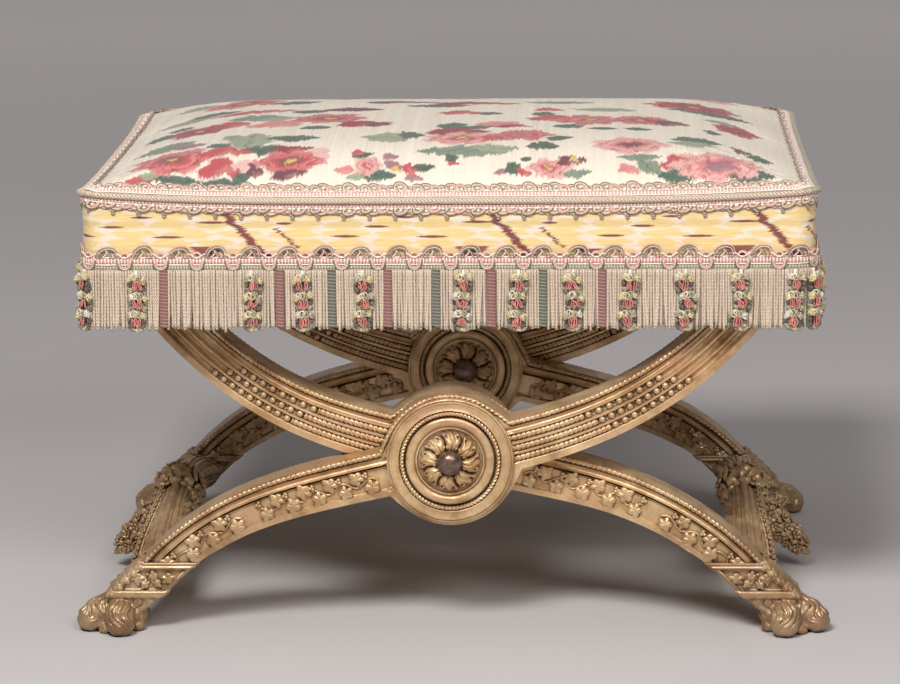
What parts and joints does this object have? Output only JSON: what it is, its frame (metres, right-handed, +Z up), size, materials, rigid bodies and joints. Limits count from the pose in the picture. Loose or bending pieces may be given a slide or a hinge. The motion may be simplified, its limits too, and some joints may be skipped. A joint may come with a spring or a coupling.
{
  "type": "stool",
  "caption": "Low rectangular stool with a padded silk seat, a tasselled fringe, crossed carved gilt frames with medallions, paw feet and leafy side stretchers.",
  "frame": {"origin": "on the floor under the middle of the seat", "axes": "+X runs to the right across the front along the long side, +Y from the front to the back, +Z up"},
  "size_m": [0.6848, 0.5186, 0.438],
  "materials": {
    "giltwood": "carved beech, water gilded over red bole, worn on its edges",
    "dark_iron": "dark patina, satin",
    "beech": "bare planed beech",
    "webbing": "jute webbing",
    "linen": "plain woven linen",
    "horsehair": "curled hair",
    "top_silk": "warp-printed silk with flower sprays",
    "side_silk": "yellow silk with dyed warps",
    "gimp": "looped silk braid and twisted cord",
    "fringe": "twisted silk hangers and flower tassels"
  },
  "bodies": {
    "root": {"front_outer_bar": "giltwood", "front_inner_bar": "giltwood", "back_outer_bar": "giltwood", "back_inner_bar": "giltwood", "front_left_foot": "giltwood", "front_right_foot": "giltwood", "back_left_foot": "giltwood", "back_right_foot": "giltwood", "front_outer_medallion": "giltwood", "front_inner_medallion": "giltwood", "back_outer_medallion": "giltwood", "back_inner_medallion": "giltwood", "front_outer_rosette": "giltwood", "front_inner_rosette": "giltwood", "back_outer_rosette": "giltwood", "back_inner_rosette": "giltwood", "left_stretcher": "giltwood", "right_stretcher": "giltwood", "left_flower_drop": "giltwood", "right_flower_drop": "giltwood", "front_bolt": "dark_iron", "back_bolt": "dark_iron", "front_cap_nut": "dark_iron", "back_cap_nut": "dark_iron", "front_left_peg": "beech", "front_right_peg": "beech", "back_left_peg": "beech", "back_right_peg": "beech", "left_rail": "beech", "right_rail": "beech", "front_rail": "beech", "back_rail": "beech", "front_left_corner_block": "beech", "front_right_corner_block": "beech", "back_left_corner_block": "beech", "back_right_corner_block": "beech", "cross_web_1": "webbing", "cross_web_2": "webbing", "cross_web_3": "webbing", "cross_web_4": "webbing", "cross_web_5": "webbing", "long_web_1": "webbing", "long_web_2": "webbing", "long_web_3": "webbing", "hessian": "linen", "dust_cloth": "linen", "horsehair_stuffing": "horsehair", "seat_cover": "top_silk", "side_band": "side_silk", "edge_cord": "gimp", "lower_edge_gimp": "gimp", "upper_edge_gimp": "gimp", "fringe_heading": "gimp", "front_fringe": "fringe", "back_fringe": "fringe", "left_fringe": "fringe", "right_fringe": "fringe"}
  },
  "joints": []
}
